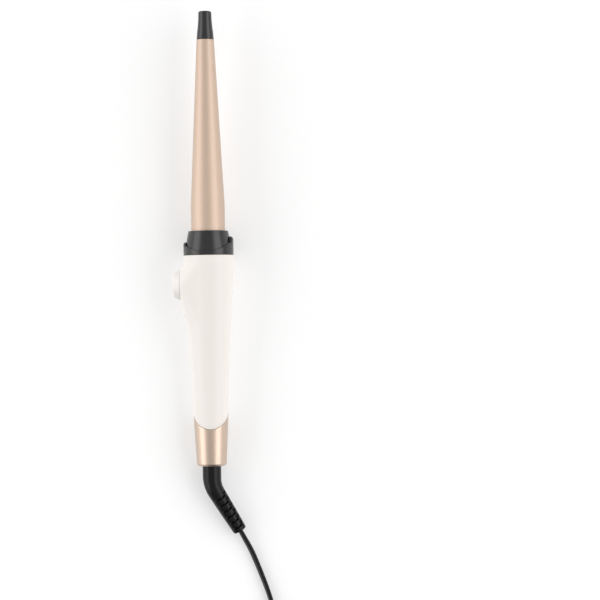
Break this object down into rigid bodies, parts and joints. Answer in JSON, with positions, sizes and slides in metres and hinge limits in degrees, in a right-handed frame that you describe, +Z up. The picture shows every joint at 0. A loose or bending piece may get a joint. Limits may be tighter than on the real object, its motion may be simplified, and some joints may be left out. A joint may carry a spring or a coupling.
{
  "type": "curling wand",
  "caption": "Conical curling wand with a cool tip, saddle-shaped guard ring, side power button and a swivelling mains cord that ends in a moulded plug.",
  "frame": {"origin": "centre of the base of the wand's own box, on the surface that it lies on, without the cord beyond its moulded relief", "axes": "+Y from the tail to the tip, +Z up, -X towards the power button"},
  "size_m": [0.0781, 0.5274, 0.0374],
  "materials": {
    "champagne_coating": "satin",
    "charcoal_plastic": "satin",
    "steel": "plain",
    "aluminium": "plain",
    "heater_film": "amber film",
    "amber_bead": "gloss",
    "fuse_case": "satin",
    "white_wire": "matte",
    "dark_wire": "matte",
    "mica": "flaky",
    "cream_plastic": "fine satin",
    "cream_button": "satin",
    "black_plastic": "matte",
    "board_green": "lacquered",
    "capacitor_yellow": "gloss",
    "capacitor_blue": "film",
    "resistor_teal": "gloss",
    "led_body": "gloss",
    "lens_plastic": "translucent",
    "champagne_sleeve": "metallised",
    "contact_brass": "plain",
    "cream_inner": "plain",
    "brown_wire": "matte",
    "black_rubber": "satin",
    "black_cord": "satin",
    "tie_plastic": "matte",
    "plug_plastic": "satin",
    "pin_metal": "nickel plated"
  },
  "bodies": {
    "wand": {"barrel_tube": "champagne_coating", "cool_tip": "charcoal_plastic", "tip_cap": "charcoal_plastic", "tip_screw": "steel", "barrel_end_plug": "aluminium", "heater_block_near": "aluminium", "heater_block_far": "aluminium", "ptc_heater": "heater_film", "heater_spring": "steel", "temperature_sensor": "amber_bead", "thermal_fuse": "fuse_case", "heater_leads": "white_wire", "sensor_leads": "dark_wire", "insulating_disc": "mica", "barrel_screws": "steel", "collar_cone": "charcoal_plastic", "guard_ring": "charcoal_plastic", "handle_shell_near": "cream_plastic", "handle_shell_far": "cream_plastic", "shell_screws": "steel", "screw_caps": "cream_plastic", "button_spring": "steel", "tact_switch": "black_plastic", "circuit_board": "board_green", "control_chip": "black_plastic", "triac": "black_plastic", "film_capacitor": "capacitor_yellow", "electrolytic_capacitor": "capacitor_blue", "power_resistors": "resistor_teal", "status_led": "led_body", "indicator_lens": "lens_plastic", "tail_sleeve": "champagne_sleeve", "contact_brushes": "contact_brass", "brush_holder": "cream_inner", "supply_leads": "brown_wire", "cord_lead": "black_cord", "cord_coil": "black_cord", "cord_tail": "black_cord", "cord_tie": "tie_plastic", "plug_body": "plug_plastic", "plug_pins": "pin_metal", "pin_sleeves": "plug_plastic"},
    "button": {"power_button": "cream_button", "switch_plunger": "black_plastic"},
    "swivel": {"swivel_spindle": "black_plastic", "slip_rings": "contact_brass", "cord_relief": "black_rubber"}
  },
  "joints": [
    {"name": "power_button", "type": "slide", "parent": "wand", "child": "button", "axis": [1, 0, 0], "range_m": [0, 0.001], "stiffness_N_per_m": 600, "springref_m": -0.001, "deforming": ["button_spring"]},
    {"name": "cord_swivel", "type": "hinge", "parent": "wand", "child": "swivel", "pos_m": [0.00107, -0.14196, 0.01093], "axis": [0, -0.9987, -0.0507], "continuous": true}
  ]
}
